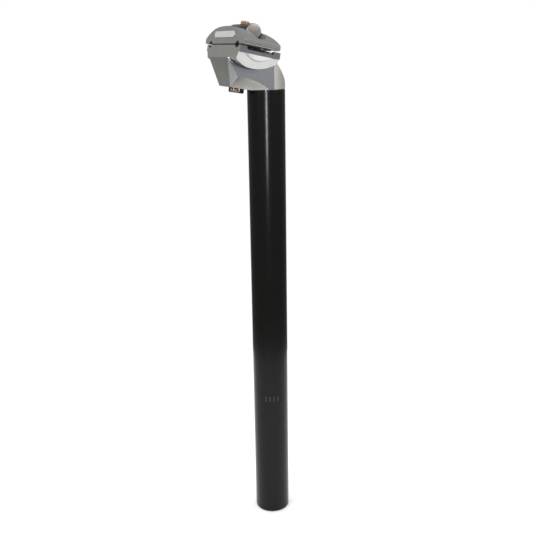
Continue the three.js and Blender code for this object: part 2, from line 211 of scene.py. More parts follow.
class Solid:
    """A closed body that can be joined to others, cut by them and trimmed."""

    def __init__(self, body: bmesh.types.BMesh) -> None:
        """Takes over a bmesh."""
        self.body = body

    @classmethod
    def prism(cls, outline: Sequence[Point], plane: Plane, start: float, end: float) -> "Solid":
        """Extrudes a closed outline.

        Args:
            outline: Its corners, in order.
            plane: The plane they are drawn in.
            start: Where the prism starts along the axis left over.
            end: Where it ends.

        Returns:
            The prism.
        """
        place = {
            Plane.SIDE: lambda a, b: (a, start, b),
            Plane.CROSS: lambda a, b: (start, a, b),
            Plane.PLAN: lambda a, b: (a, b, start),
        }[plane]
        along = {
            Plane.SIDE: Vector((0, 1, 0)),
            Plane.CROSS: Vector((1, 0, 0)),
            Plane.PLAN: Vector((0, 0, 1)),
        }[plane]
        body = bmesh.new()
        face = body.faces.new([body.verts.new(place(a, b)) for a, b in outline])
        grown = bmesh.ops.extrude_face_region(body, geom=[face], use_keep_orig=True)["geom"]
        moved = [item for item in grown if isinstance(item, bmesh.types.BMVert)]
        bmesh.ops.translate(body, verts=moved, vec=along * (end - start))
        return cls(body).tidy()

    @classmethod
    def turned(cls, profile: Sequence[Point], closed: bool = False) -> "Solid":
        """Spins a profile of (radius, height) points once about the z axis.

        Args:
            profile: The points; they start and end on the axis, or close on themselves.
            closed: Whether the profile closes on itself.

        Returns:
            The turned body.
        """
        body = bmesh.new()
        verts = [body.verts.new((radius, 0, height)) for radius, height in profile]
        pairs = list(zip(verts, verts[1:]))
        if closed:
            pairs.append((verts[-1], verts[0]))
        edges = [body.edges.new(pair) for pair in pairs]
        turn = {"axis": (0, 0, 1), "cent": (0, 0, 0), "angle": math.tau, "steps": ROUND_STEPS}
        bmesh.ops.spin(body, geom=verts + edges, use_merge=True, **turn)
        return cls(body).tidy()

    @classmethod
    def rod(cls, radius: float, start: float, end: float, sides: int = ROUND_STEPS) -> "Solid":
        """An upright cylinder from z = start to z = end."""
        body = bmesh.new()
        middle = Matrix.Translation((0, 0, (start + end) / 2))
        sizes = {"radius1": radius, "radius2": radius, "depth": end - start}
        bmesh.ops.create_cone(body, cap_ends=True, segments=sides, matrix=middle, **sizes)
        return cls(body)

    @classmethod
    def ball_through(cls, points: Sequence[Vector], radius: float, towards: Vector) -> "Solid":
        """A large ball whose surface runs through three points.

        Args:
            points: The three points.
            radius: The ball's radius.
            towards: Which side of the points' plane the ball's middle is on.

        Returns:
            The ball.
        """
        first, second, third = points
        a, b = second - first, third - first
        across = a.cross(b)
        to_centre = (a.length_squared * b.cross(across) + b.length_squared * across.cross(a)) / (
            2 * across.length_squared
        )
        normal = across.normalized()
        if normal.dot(towards) < 0:
            normal.negate()
        middle = first + to_centre + normal * math.sqrt(radius**2 - to_centre.length_squared)
        body = bmesh.new()
        place = Matrix.Translation(middle)
        bmesh.ops.create_uvsphere(body, u_segments=160, v_segments=120, radius=radius, matrix=place)
        return cls(body)

    @classmethod
    def block(cls, low: Sequence[float], high: Sequence[float]) -> "Solid":
        """A box between two corners."""
        body = bmesh.new()
        size = [h - l for l, h in zip(low, high)]
        middle = [(h + l) / 2 for l, h in zip(low, high)]
        bmesh.ops.create_cube(body, size=1.0)
        bmesh.ops.scale(body, verts=body.verts, vec=size)
        bmesh.ops.translate(body, verts=body.verts, vec=middle)
        return cls(body)

    def tidy(self) -> "Solid":
        """Merges doubled corners, closes poles and turns every face outwards."""
        bmesh.ops.remove_doubles(self.body, verts=self.body.verts, dist=MERGE_DISTANCE)
        bmesh.ops.recalc_face_normals(self.body, faces=self.body.faces)
        return self

    def moved(self, matrix: Matrix) -> "Solid":
        """Transforms the body where it is."""
        bmesh.ops.transform(self.body, matrix=matrix, verts=self.body.verts)
        return self

    def mirrored_copy(self) -> "Solid":
        """A copy on the other side of the plane y = 0."""
        twin = Solid(self.body.copy())
        bmesh.ops.scale(twin.body, verts=twin.body.verts, vec=(1, -1, 1))
        bmesh.ops.reverse_faces(twin.body, faces=twin.body.faces)
        return twin

    def combined(self, tool: "Solid", how: Combine) -> "Solid":
        """Joins, cuts or keeps what two bodies share.

        Args:
            tool: The other body, which is used up.
            how: What to do.

        Returns:
            This body, changed.
        """
        first = self._scratch_object("first")
        second = tool._scratch_object("second")
        modifier = first.modifiers.new("combine", "BOOLEAN")
        modifier.operation = how.value
        modifier.object = second
        modifier.solver = "EXACT"
        graph = bpy.context.evaluated_depsgraph_get()
        mesh = bpy.data.meshes.new_from_object(first.evaluated_get(graph))
        self.body.clear()
        self.body.from_mesh(mesh)
        bpy.data.meshes.remove(mesh)
        for scratch in (first, second):
            data = scratch.data
            bpy.data.objects.remove(scratch)
            bpy.data.meshes.remove(data)
        tool.body.free()
        bmesh.ops.remove_doubles(self.body, verts=self.body.verts, dist=MERGE_DISTANCE)
        return self

    def cut(self, *tools: "Solid") -> "Solid":
        """Cuts each tool away from the body."""
        for tool in tools:
            self.combined(tool, Combine.CUT)
        return self

    def join(self, *tools: "Solid") -> "Solid":
        """Joins each tool to the body."""
        for tool in tools:
            self.combined(tool, Combine.JOIN)
        return self

    def keep(self, tool: "Solid") -> "Solid":
        """Keeps what the body shares with the tool."""
        return self.combined(tool, Combine.KEEP)

    def trim(self, points: Sequence[Vector], side: float) -> "Solid":
        """Slices off everything outside the plane through three points.

        Args:
            points: Three points on the plane.
            side: 1 to slice off the +y side, -1 for the -y side.

        Returns:
            This body, changed.
        """
        normal = (points[1] - points[0]).cross(points[2] - points[0]).normalized()
        if normal.y * side < 0:
            normal.negate()
        geometry = [*self.body.verts, *self.body.edges, *self.body.faces]
        plane = {"plane_co": points[0], "plane_no": normal, "dist": MERGE_DISTANCE}
        found = bmesh.ops.bisect_plane(self.body, geom=geometry, clear_outer=True, **plane)
        rim = [item for item in found["geom_cut"] if isinstance(item, bmesh.types.BMEdge)]
        bmesh.ops.contextual_create(self.body, geom=rim)
        return self.tidy()

    def flattened(self) -> "Solid":
        """Dissolves the edges that lie inside flat faces."""
        bmesh.ops.dissolve_limit(
            self.body, angle_limit=FLAT_ANGLE, verts=self.body.verts, edges=self.body.edges
        )
        return self

    def _scratch_object(self, name: str) -> bpy.types.Object:
        """Puts a copy of the body in the scene, for a modifier to work on."""
        mesh = bpy.data.meshes.new(name)
        self.body.to_mesh(mesh)
        return put_in_scene(name, mesh)


# Node groups and finishes


class Graph:
    """Adds and links nodes in one node tree."""

    def __init__(self, tree: bpy.types.NodeTree) -> None:
        """Works in the given tree."""
        self.tree = tree

    def add(self, kind: str, values: dict | None = None, **settings: object) -> bpy.types.Node:
        """Adds a node.

        Args:
            kind: Blender's name for the node type.
            values: Input sockets by name or number: a number, a tuple, or a socket to link.
            **settings: The node's own properties.

        Returns:
            The node.
        """
        node = self.tree.nodes.new(kind)
        for name, value in settings.items():
            setattr(node, name, value)
        for name, value in (values or {}).items():
            if isinstance(value, bpy.types.NodeSocket):
                self.tree.links.new(value, node.inputs[name])
            else:
                node.inputs[name].default_value = value
        return node

    def math(self, operation: str, first: object, second: object = 0.0) -> bpy.types.NodeSocket:
        """One step of arithmetic, and the socket that holds its result."""
        return self.add("ShaderNodeMath", {0: first, 1: second}, operation=operation).outputs[0]

    def noise(self, vector: object, scale: object, **settings: float) -> bpy.types.NodeSocket:
        """Soft noise, with the noise node's other inputs by name."""
        values = {"Vector": vector, "Scale": scale, **settings}
        return self.add("ShaderNodeTexNoise", values).outputs[0]

    def spread(self, value: object, low: float, high: float, out_low: float, out_high: float) -> object:
        """Maps low..high to out_low..out_high, clamped."""
        node = self.add(
            "ShaderNodeMapRange",
            {"Value": value, "From Min": low, "From Max": high, "To Min": out_low, "To Max": out_high},
        )
        return node.outputs["Result"]

    def mix(self, share: object, first: object, second: object) -> bpy.types.NodeSocket:
        """Mixes two colours."""
        node = self.add("ShaderNodeMix", data_type="RGBA")
        for socket, value in ((node.inputs[0], share), (node.inputs[6], first), (node.inputs[7], second)):
            if isinstance(value, bpy.types.NodeSocket):
                self.tree.links.new(value, socket)
            else:
                socket.default_value = value
        return node.outputs[2]


class Effects:
    """Shared node groups, each built the first time it is asked for."""

    @staticmethod
    def _group(name: str, inputs: dict[str, str], outputs: dict[str, str]) -> tuple[Graph, object, object]:
        """Starts a node group with named sockets."""
        tree = bpy.data.node_groups.new(name, "ShaderNodeTree")
        for socket, kind in inputs.items():
            tree.interface.new_socket(name=socket, in_out="INPUT", socket_type=kind)
        for socket, kind in outputs.items():
            tree.interface.new_socket(name=socket, in_out="OUTPUT", socket_type=kind)
        graph = Graph(tree)
        return graph, graph.add("NodeGroupInput"), graph.add("NodeGroupOutput")

    @classmethod
    def grain(cls) -> bpy.types.NodeTree:
        """Fine marks stretched one way: a height for bump and a mask for roughness."""
        name = "metal_grain"
        if name in bpy.data.node_groups:
            return bpy.data.node_groups[name]
        kinds = {"Vector": "NodeSocketVector", "Stretch": "NodeSocketVector", "Scale": "NodeSocketFloat"}
        results = {"Height": "NodeSocketFloat", "Mask": "NodeSocketFloat"}
        graph, inside, outside = cls._group(name, kinds, results)
        stretched = graph.add(
            "ShaderNodeVectorMath",
            {0: inside.outputs["Vector"], 1: inside.outputs["Stretch"]},
            operation="MULTIPLY",
        ).outputs[0]
        fine = graph.noise(stretched, inside.outputs["Scale"], Detail=3.0, Roughness=0.6)
        coarse_scale = graph.math("MULTIPLY", inside.outputs["Scale"], 0.22)
        coarse = graph.noise(stretched, coarse_scale, Detail=2.0)
        graph.tree.links.new(fine, outside.inputs["Height"])
        graph.tree.links.new(graph.spread(coarse, 0.3, 0.7, 0.0, 1.0), outside.inputs["Mask"])
        return graph.tree

    @classmethod
    def mottle(cls) -> bpy.types.NodeTree:
        """Soft uneven patches, as left by forging, tumbling and handling."""
        name = "soft_mottle"
        if name in bpy.data.node_groups:
            return bpy.data.node_groups[name]
        kinds = {"Vector": "NodeSocketVector", "Scale": "NodeSocketFloat"}
        graph, inside, outside = cls._group(name, kinds, {"Mask": "NodeSocketFloat"})
        vector, scale = inside.outputs["Vector"], inside.outputs["Scale"]
        noise = graph.noise(vector, scale, Detail=2.5, Roughness=0.5, Distortion=0.3)
        graph.tree.links.new(graph.spread(noise, 0.25, 0.75, 0.0, 1.0), outside.inputs["Mask"])
        return graph.tree

    @classmethod
    def edge_wear(cls) -> bpy.types.NodeTree:
        """A mask that is strongest along outer edges, broken up by noise: edge wear, and a painted highlight
        along the edges.
        """
        name = "edge_wear"
        if name in bpy.data.node_groups:
            return bpy.data.node_groups[name]
        kinds = {"Vector": "NodeSocketVector", "Scale": "NodeSocketFloat"}
        graph, inside, outside = cls._group(name, kinds, {"Mask": "NodeSocketFloat"})
        pointed = graph.add("ShaderNodeNewGeometry").outputs["Pointiness"]
        # Pointed edges are lightened: wear, and a painted highlight along the edges.
        edges = graph.spread(pointed, 0.51, 0.6, 0.0, 1.0)
        noise = graph.noise(inside.outputs["Vector"], inside.outputs["Scale"], Detail=3.0)
        broken = graph.math("MULTIPLY", edges, graph.spread(noise, 0.35, 0.6, 0.25, 1.0))
        graph.tree.links.new(broken, outside.inputs["Mask"])
        return graph.tree

    @classmethod
    def scratches(cls) -> bpy.types.NodeTree:
        """Sparse hair-fine handling scratches."""
        name = "fine_scratches"
        if name in bpy.data.node_groups:
            return bpy.data.node_groups[name]
        kinds = {"Vector": "NodeSocketVector", "Scale": "NodeSocketFloat"}
        graph, inside, outside = cls._group(name, kinds, {"Mask": "NodeSocketFloat"})
        across = graph.add(
            "ShaderNodeVectorMath",
            {0: inside.outputs["Vector"], 1: (0.62, 0.27, 0.74)},
            operation="DOT_PRODUCT",
        ).outputs["Value"]
        bend_scale = graph.math("MULTIPLY", inside.outputs["Scale"], 0.05)
        bend = graph.noise(inside.outputs["Vector"], bend_scale)
        place = graph.math("MULTIPLY", across, inside.outputs["Scale"])
        phase = graph.math("FRACT", graph.math("ADD", place, graph.math("MULTIPLY", bend, 4.0)))
        middle = graph.math("ABSOLUTE", graph.math("SUBTRACT", phase, 0.5))
        lines = graph.spread(middle, 0.0, 0.02, 1.0, 0.0)
        patches_scale = graph.math("MULTIPLY", inside.outputs["Scale"], 0.2)
        patches = graph.noise(inside.outputs["Vector"], patches_scale)
        sparse = graph.math("MULTIPLY", lines, graph.spread(patches, 0.52, 0.66, 0.0, 1.0))
        graph.tree.links.new(sparse, outside.inputs["Mask"])
        return graph.tree


@dataclass(frozen=True)
class MetalFinish:
    """A metal surface: its colour, its gloss, the marks that making and use left on it, and a painted
    highlight along its edges.
    """

    name: str
    colour: tuple[float, float, float]
    worn_and_highlight_colour: tuple[float, float, float]
    roughness: float
    metallic: float = 1.0
    roughness_spread: float = 0.03
    grain: Grain = Grain.EVEN
    grain_scale: float = 2600.0
    grain_height: float = 0.05
    mottle_scale: float = 95.0
    mottle_depth: float = 0.07
    wear_and_highlight: float = 0.1
    scratch_scale: float = 520.0
    scratch_height: float = 0.02
    specular: float = 0.5

    def material(self) -> bpy.types.Material:
        """The finish as a material, built once."""
        if self.name in bpy.data.materials:
            return bpy.data.materials[self.name]
        made = bpy.data.materials.new(self.name)
        made.use_nodes = True
        graph = Graph(made.node_tree)
        shader = made.node_tree.nodes["Principled BSDF"]
        shader.inputs["Metallic"].default_value = self.metallic
        shader.inputs["Specular IOR Level"].default_value = self.specular
        place = graph.add("ShaderNodeTexCoord").outputs["Object"]
        grain = self._effect(graph, Effects.grain(), place, self.grain_scale)
        grain.inputs["Stretch"].default_value = self.grain.value
        mottle = self._effect(graph, Effects.mottle(), place, self.mottle_scale).outputs["Mask"]
        wear_and_highlight = self._effect(graph, Effects.edge_wear(), place, 3 * self.mottle_scale).outputs["Mask"]
        scratch = self._effect(graph, Effects.scratches(), place, self.scratch_scale).outputs["Mask"]
        colour = self.colour_socket(graph, place, mottle, wear_and_highlight)
        made.node_tree.links.new(colour, shader.inputs["Base Color"])
        low, high = self.roughness - self.roughness_spread, self.roughness + self.roughness_spread
        uneven = graph.math("MULTIPLY", graph.math("ADD", grain.outputs["Mask"], mottle), 0.5)
        rough = graph.spread(uneven, 0.0, 1.0, low, high)
        made.node_tree.links.new(rough, shader.inputs["Roughness"])
        scored = graph.math("MULTIPLY", scratch, -self.scratch_height)
        height = graph.math("ADD", graph.math("MULTIPLY", grain.outputs["Height"], self.grain_height), scored)
        bump = graph.add("ShaderNodeBump", {"Height": height, "Strength": 0.6, "Distance": 0.0003})
        made.node_tree.links.new(bump.outputs["Normal"], shader.inputs["Normal"])
        return made

    def colour_socket(
        self, graph: Graph, place: bpy.types.NodeSocket, mottle: object, wear_and_highlight: object
    ) -> bpy.types.NodeSocket:
        """The colour over the surface: mottled, and lighter along edges, as wear and as a painted highlight.
        """
        dark = tuple(channel * (1 - self.mottle_depth) for channel in self.colour)
        mottled = graph.mix(mottle, (*self.colour, 1), (*dark, 1))
        return graph.mix(graph.math("MULTIPLY", wear_and_highlight, self.wear_and_highlight), mottled, (*self.worn_and_highlight_colour, 1))

    @staticmethod
    def _effect(graph: Graph, tree: bpy.types.NodeTree, place: object, scale: float) -> bpy.types.Node:
        """Places a shared effect."""
        node = graph.add("ShaderNodeGroup", node_tree=tree)
        graph.tree.links.new(place, node.inputs["Vector"])
        node.inputs["Scale"].default_value = scale
        return node


@dataclass(frozen=True)
class AnodisedTubeFinish(MetalFinish):
    """The tube's black finish, with a ring of plain upright insertion ticks."""

    tick_colour: tuple[float, float, float] = (0.045, 0.045, 0.042)
    tick_low: float = 0.0938
    tick_high: float = 0.0980
    ticks_round: int = 27
    tick_share: float = 0.2
    ticks_from: float = -2.36
    ticks_to: float = -1.5

    def colour_socket(
        self, graph: Graph, place: bpy.types.NodeSocket, mottle: object, wear_and_highlight: object
    ) -> bpy.types.NodeSocket:
        """The mottled black, with the ticks printed on it."""
        base = MetalFinish.colour_socket(self, graph, place, mottle, wear_and_highlight)
        split = graph.add("ShaderNodeSeparateXYZ", {0: place}).outputs
        angle = graph.math("ARCTAN2", split[1], split[0])
        phase = graph.math("FRACT", graph.math("MULTIPLY", angle, self.ticks_round / math.tau))
        mask = graph.math("LESS_THAN", phase, self.tick_share)
        limits = (
            ("GREATER_THAN", angle, self.ticks_from),
            ("LESS_THAN", angle, self.ticks_to),
            ("GREATER_THAN", split[2], self.tick_low),
            ("LESS_THAN", split[2], self.tick_high),
        )
        for operation, value, limit in limits:
            mask = graph.math("MULTIPLY", mask, graph.math(operation, value, limit))
        return graph.mix(mask, base, (*self.tick_colour, 1))


BLACK_TUBE = AnodisedTubeFinish(
    name="black_anodised_tube", colour=(0.0046, 0.0048, 0.0042), worn_and_highlight_colour=(0.05, 0.05, 0.05),
    metallic=0.0, specular=0.16, roughness=0.2, grain=Grain.ALONG_Z, grain_scale=3200.0,
    grain_height=0.04, mottle_scale=60.0,
)
SATIN_REAR = MetalFinish(
    name="satin_forging", colour=(0.50, 0.49, 0.455), worn_and_highlight_colour=(0.78, 0.78, 0.75),
    roughness=0.46, grain=Grain.ALONG_Y, grain_scale=2400.0,
)
POLISHED_SIDE = MetalFinish(
    name="polished_forging", colour=(0.60, 0.63, 0.655), worn_and_highlight_colour=(0.9, 0.9, 0.9),
    roughness=0.22, grain=Grain.ALONG_X, grain_scale=2200.0, grain_height=0.035, mottle_depth=0.1,
)
# Its pale worn colour also serves as a painted highlight along the band's edges.
DARK_BAND = MetalFinish(
    name="polished_rim_band", colour=(0.36, 0.39, 0.415), worn_and_highlight_colour=(0.92, 0.92, 0.92),
    roughness=0.2, grain=Grain.ALONG_X, grain_height=0.03,
)
# Its pale worn colour also serves as a painted highlight along the wedge's edges.
WEDGE_FACET = MetalFinish(
    name="polished_wedge_facet", colour=(0.84, 0.89, 0.91), worn_and_highlight_colour=(0.95, 0.95, 0.95),
    roughness=0.24, grain=Grain.ALONG_Z,
)
WARM_FACET = MetalFinish(
    name="warm_lower_facet", colour=(0.32, 0.312, 0.29), worn_and_highlight_colour=(0.9, 0.9, 0.88),
    roughness=0.3, grain=Grain.ALONG_X,
)
WARM_FRONT = MetalFinish(
    name="warm_round_front", colour=(0.68, 0.645, 0.585), worn_and_highlight_colour=(0.9, 0.9, 0.88),
    metallic=0.85, roughness=0.4, grain=Grain.ALONG_Z,
)
BRIGHT_FLANK = MetalFinish(
    name="bright_machined_flank", colour=(0.67, 0.67, 0.645), worn_and_highlight_colour=(0.95, 0.95, 0.94),
    metallic=0.45, roughness=0.5, grain=Grain.ALONG_X,
)
CAP_METAL = MetalFinish(
    name="tumbled_cap_side", colour=(0.36, 0.365, 0.35), worn_and_highlight_colour=(0.9, 0.9, 0.89),
    roughness=0.38, grain=Grain.ALONG_X, grain_scale=2200.0,
)
RAISED_BAR = MetalFinish(
    name="bright_raised_bar", colour=(0.60, 0.60, 0.585), worn_and_highlight_colour=(0.9, 0.9, 0.89),
    metallic=0.3, roughness=0.5,
)
# Painted light: a lighter copy of the flank metal, put on the hollow scoops so they read as lit.
PAINTED_LIGHT_SCOOP = MetalFinish(
    name="painted_light_scoop", colour=(0.92, 0.915, 0.86), worn_and_highlight_colour=(0.95, 0.95, 0.93),
    metallic=0.45, roughness=0.5, grain=Grain.ALONG_X,
)
# Painted shade: a darker copy of the clamp metal, put on the insides of the rail grooves and side windows.
PAINTED_SHADE_GROOVE = MetalFinish(
    name="painted_shade_groove", colour=(0.36, 0.35, 0.33), worn_and_highlight_colour=(0.6, 0.6, 0.58),
    roughness=0.42, mottle_scale=300.0, mottle_depth=0.15,
)
TOOTHED_FACE = MetalFinish(
    name="cut_teeth", colour=(0.33, 0.33, 0.32), worn_and_highlight_colour=(0.95, 0.95, 0.94), roughness=0.33,
    grain=Grain.ALONG_Y, wear_and_highlight=0.5, mottle_scale=90.0,
)
DARK_NICKEL = MetalFinish(
    name="dark_nut_barrel", colour=(0.020, 0.018, 0.016), worn_and_highlight_colour=(0.12, 0.11, 0.10),
    roughness=0.3, mottle_scale=420.0, mottle_depth=0.15,
)
NUT_END = MetalFinish(
    name="turned_nut_end", colour=(0.40, 0.365, 0.34), worn_and_highlight_colour=(0.62, 0.61, 0.6), roughness=0.3,
    mottle_scale=380.0, mottle_depth=0.15,
)
YELLOW_ZINC = MetalFinish(
    name="yellow_zinc_thread", colour=(0.85, 0.585, 0.32), worn_and_highlight_colour=(0.95, 0.8, 0.5),
    roughness=0.30, mottle_scale=700.0, mottle_depth=0.35,
)
# Painted shade: a dark copy of the bolt's metal for its head, which sits in shade underneath.
PAINTED_SHADE_BOLT_HEAD = MetalFinish(
    name="painted_shade_bolt_head", colour=(0.085, 0.068, 0.055), worn_and_highlight_colour=(0.5, 0.47, 0.43),
    roughness=0.24, mottle_scale=600.0, mottle_depth=0.3,
)
ZINC_WASHER = MetalFinish(
    name="zinc_washer", colour=(0.52, 0.53, 0.54), worn_and_highlight_colour=(0.8, 0.8, 0.8), roughness=0.34,
    mottle_scale=500.0,
)


# Pieces

@dataclass
class Places:
    """Where the pieces are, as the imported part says."""

    tube_top: float
    pivot: Vector
    lean: float
    tilt: float

    @classmethod
    def from_frame(cls, loaded: dict) -> "Places":
        """Reads the places from the frame.


        Returns:
            The tube's top and the cross nut's axis in millimetres, and both angles in radians.
        """
        joints = {joint["name"]: joint for joint in loaded["joints"]}
        mounts = {mount["name"]: mount for mount in loaded["record"]["mounts"]}
        bolt = Vector(joints["nut_travel"]["axis"])
        rear = Vector(mounts["rail_clamp_rear"]["axis"])
        return cls(
            tube_top=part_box("post_tube")[1].z / MM,
            pivot=Vector(joints["saddle_tilt"]["pos_m"]) / MM,
            lean=math.atan2(bolt.x, bolt.z),
            tilt=math.atan2(rear.z, -rear.x),
        )

    @property
    def on_tube(self) -> Matrix:
        """The head's frame, on the tube's top."""
        return Matrix.Translation((0, 0, self.tube_top))

    @property
    def on_rails(self) -> Matrix:
        """The clamps' frame: the origin on the cross nut's axis, x along the rails."""
        return Matrix.Translation(self.pivot) @ Matrix.Rotation(self.tilt, 4, "Y")

    @property
    def on_bolt(self) -> Matrix:
        """The bolt's frame: the origin on the cross nut's axis, z up along the bolt."""
        return Matrix.Translation(self.pivot) @ Matrix.Rotation(self.lean, 4, "Y")

    @property
    def pivot_in_head(self) -> Point:
        """The cross nut's axis in the head's frame, as x and z."""
        return (self.pivot.x, self.pivot.z - self.tube_top)


@dataclass
class Piece:
    """What every piece shares: its names, its finishes and how its edges are broken."""

    places: Places
    name: str = ""
    body: str = ""
    node: str = ""
    slot: str = ""
    finishes: tuple[MetalFinish, ...] = ()
    edge_radius: float = 0.3
    edge_segments: int = 3
    edge_angle: float = 24.0

    def make(self) -> bpy.types.Object:
        """Builds the mesh, dresses it and ties it to its body."""
        piece = self.dress(self.build())
        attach(piece, self.body)
        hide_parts(self.node)
        LOG.info("%s: %d faces", piece.name, len(piece.data.polygons))
        return piece

    def build(self) -> Solid:
        """The piece's shape in its own frame."""
        raise NotImplementedError

    def frame_matrix(self) -> Matrix:
        """Where the piece's own frame is in the part."""
        return Matrix.Identity(4)

    def choose_finish(self, face: bmesh.types.BMFace) -> int:
        """The number of the finish that a face takes."""
        return 0

    def dress(self, shape: Solid) -> bpy.types.Object:
        """Turns a shape into a finished object.

        Args:
            shape: The shape in the piece's own frame, in millimetres.

        Returns:
            The object, at the origin, with its place in its mesh.
        """
        shape.flattened()
        for face in shape.body.faces:
            face.smooth = True
            face.material_index = self.choose_finish(face)
        shape.moved(Matrix.Scale(MM, 4) @ self.frame_matrix())
        mesh = bpy.data.meshes.new(self.name)
        shape.body.to_mesh(mesh)
        shape.body.free()
        for finish in self.finishes:
            mesh.materials.append(finish.material())
        piece = put_in_scene(self.name, mesh)
        bevel = piece.modifiers.new("broken_edges", "BEVEL")
        bevel.width = self.edge_radius * MM
        bevel.segments = self.edge_segments
        bevel.profile = 0.5
        bevel.affect = "EDGES"
        bevel.limit_method = "ANGLE"
        bevel.angle_limit = math.radians(self.edge_angle)
        bevel.material = -1
        bevel.harden_normals = True
        return piece


@dataclass
class PostTube(Piece):
    """The round tube, open at its lower end."""

    name: str = "satin_black_tube"
    body: str = "post"
    node: str = "post_tube"
    slot: str = "tube"
    finishes: tuple[MetalFinish, ...] = (BLACK_TUBE,)
    radius: float = 12.7
    wall: float = 2.2
    foot_round: float = 0.8
    top_round: float = 0.5

    def build(self) -> Solid:
        """Spins the wall's section, with its outer corners rounded."""
        bore = self.radius - self.wall
        top = self.places.tube_top
        foot = arc((self.radius - self.foot_round, self.foot_round), self.foot_round, -90, 0, 6)
        crown = arc((self.radius - self.top_round, top - self.top_round), self.top_round, 0, 90, 5)
        return Solid.turned([(bore, 0.0), *foot, *crown, (bore, top)], closed=True)


